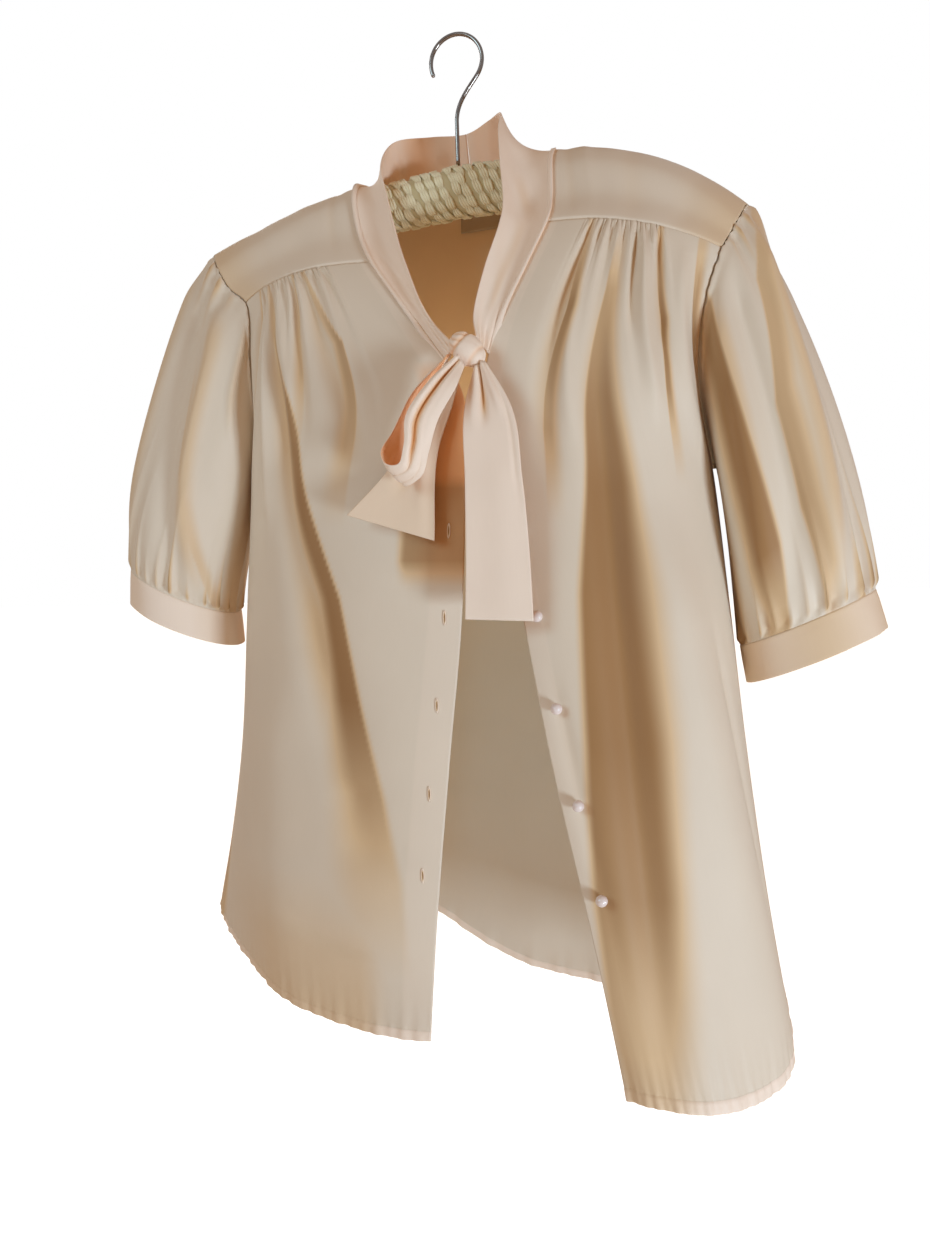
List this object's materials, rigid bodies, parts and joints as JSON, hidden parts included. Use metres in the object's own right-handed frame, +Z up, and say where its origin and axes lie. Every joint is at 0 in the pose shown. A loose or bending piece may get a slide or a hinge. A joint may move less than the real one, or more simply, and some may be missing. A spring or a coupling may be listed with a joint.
{
  "type": "tie neck blouse on a hanger",
  "caption": "Short-sleeved blouse with a tied neck band, gathered yokes and an open buttoned front, hanging on a wire-hooked hanger with a crochet cover.",
  "frame": {"origin": "the inner top of the hanger's hook, where it bears on a rail", "axes": "+Z up, -Y towards the blouse's front, +X to the wearer's left"},
  "size_m": [0.5977, 0.2619, 0.7732],
  "materials": {
    "crepe": "fine matt crepe with a soft sheen",
    "label_tape": "plain woven tape",
    "button_shell": "satin",
    "polished_wire": "polished",
    "crochet_yarn": "soft crochet yarn"
  },
  "bodies": {
    "root": {"back": "crepe", "yoke_left": "crepe", "yoke_right": "crepe", "front_left": "crepe", "front_right": "crepe", "sleeve_left": "crepe", "sleeve_right": "crepe", "cuff_left": "crepe", "cuff_right": "crepe", "collar_left": "crepe", "collar_right": "crepe", "tie_loop": "crepe", "tie_tail_left": "crepe", "tie_tail_right": "crepe", "tie_knot": "crepe", "neck_label": "label_tape", "button_1": "button_shell", "button_2": "button_shell", "button_3": "button_shell", "button_4": "button_shell", "button_5": "button_shell", "hanger_hook": "polished_wire", "hanger_bar": "crochet_yarn"}
  },
  "joints": []
}
